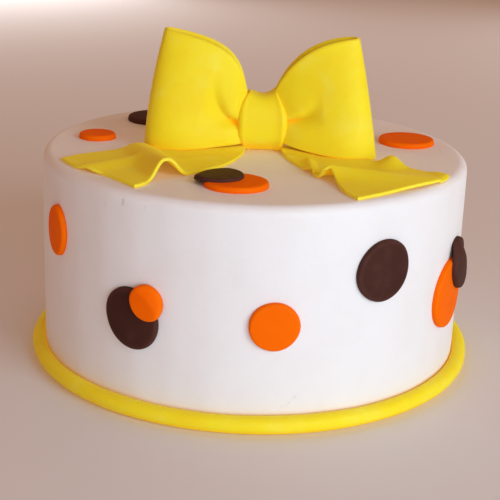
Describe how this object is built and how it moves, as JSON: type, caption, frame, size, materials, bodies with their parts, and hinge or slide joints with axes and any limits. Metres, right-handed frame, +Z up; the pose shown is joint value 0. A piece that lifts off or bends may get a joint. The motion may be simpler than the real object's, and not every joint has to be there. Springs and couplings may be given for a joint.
{
  "type": "sugar paste celebration cake",
  "caption": "Round layer cake under smooth white sugar paste, dotted with orange and brown paste spots, ringed at its foot by a yellow rope and topped with a stiff yellow ribbon bow.",
  "frame": {"origin": "middle of the flat underside of the cake", "axes": "+Z up through the middle of the cake, +X to the right and -Y towards a viewer who faces the front of the bow"},
  "size_m": [0.2257, 0.2268, 0.1627],
  "materials": {
    "white_paste": "smooth matt-satin rolled sugar paste",
    "yellow_paste": "smooth satin sugar paste",
    "orange_paste": "smooth satin sugar paste",
    "brown_paste": "smooth satin sugar paste"
  },
  "bodies": {
    "root": {"cake_body": "white_paste", "base_rope": "yellow_paste", "side_spot_orange_front": "orange_paste", "side_spot_brown_right": "brown_paste", "side_spot_orange_right": "orange_paste", "side_spot_brown_far_right": "brown_paste", "side_spot_brown_left": "brown_paste", "side_spot_orange_small_left": "orange_paste", "side_spot_orange_far_left": "orange_paste", "side_spot_brown_back_right": "brown_paste", "side_spot_orange_back_right": "orange_paste", "side_spot_brown_back": "brown_paste", "side_spot_orange_small_back": "orange_paste", "side_spot_orange_back": "orange_paste", "side_spot_brown_back_left": "brown_paste", "side_spot_orange_back_left": "orange_paste", "side_spot_brown_far_left": "brown_paste", "top_spot_orange_left": "orange_paste", "top_spot_orange_right": "orange_paste", "top_spot_orange_front": "orange_paste", "top_spot_brown_front": "brown_paste", "top_spot_brown_back_left": "brown_paste", "top_spot_orange_back": "orange_paste", "top_spot_brown_back": "brown_paste", "bow_tail_left": "yellow_paste", "bow_tail_right": "yellow_paste", "bow_loop_left": "yellow_paste", "bow_loop_right": "yellow_paste", "bow_knot": "yellow_paste"}
  },
  "joints": []
}
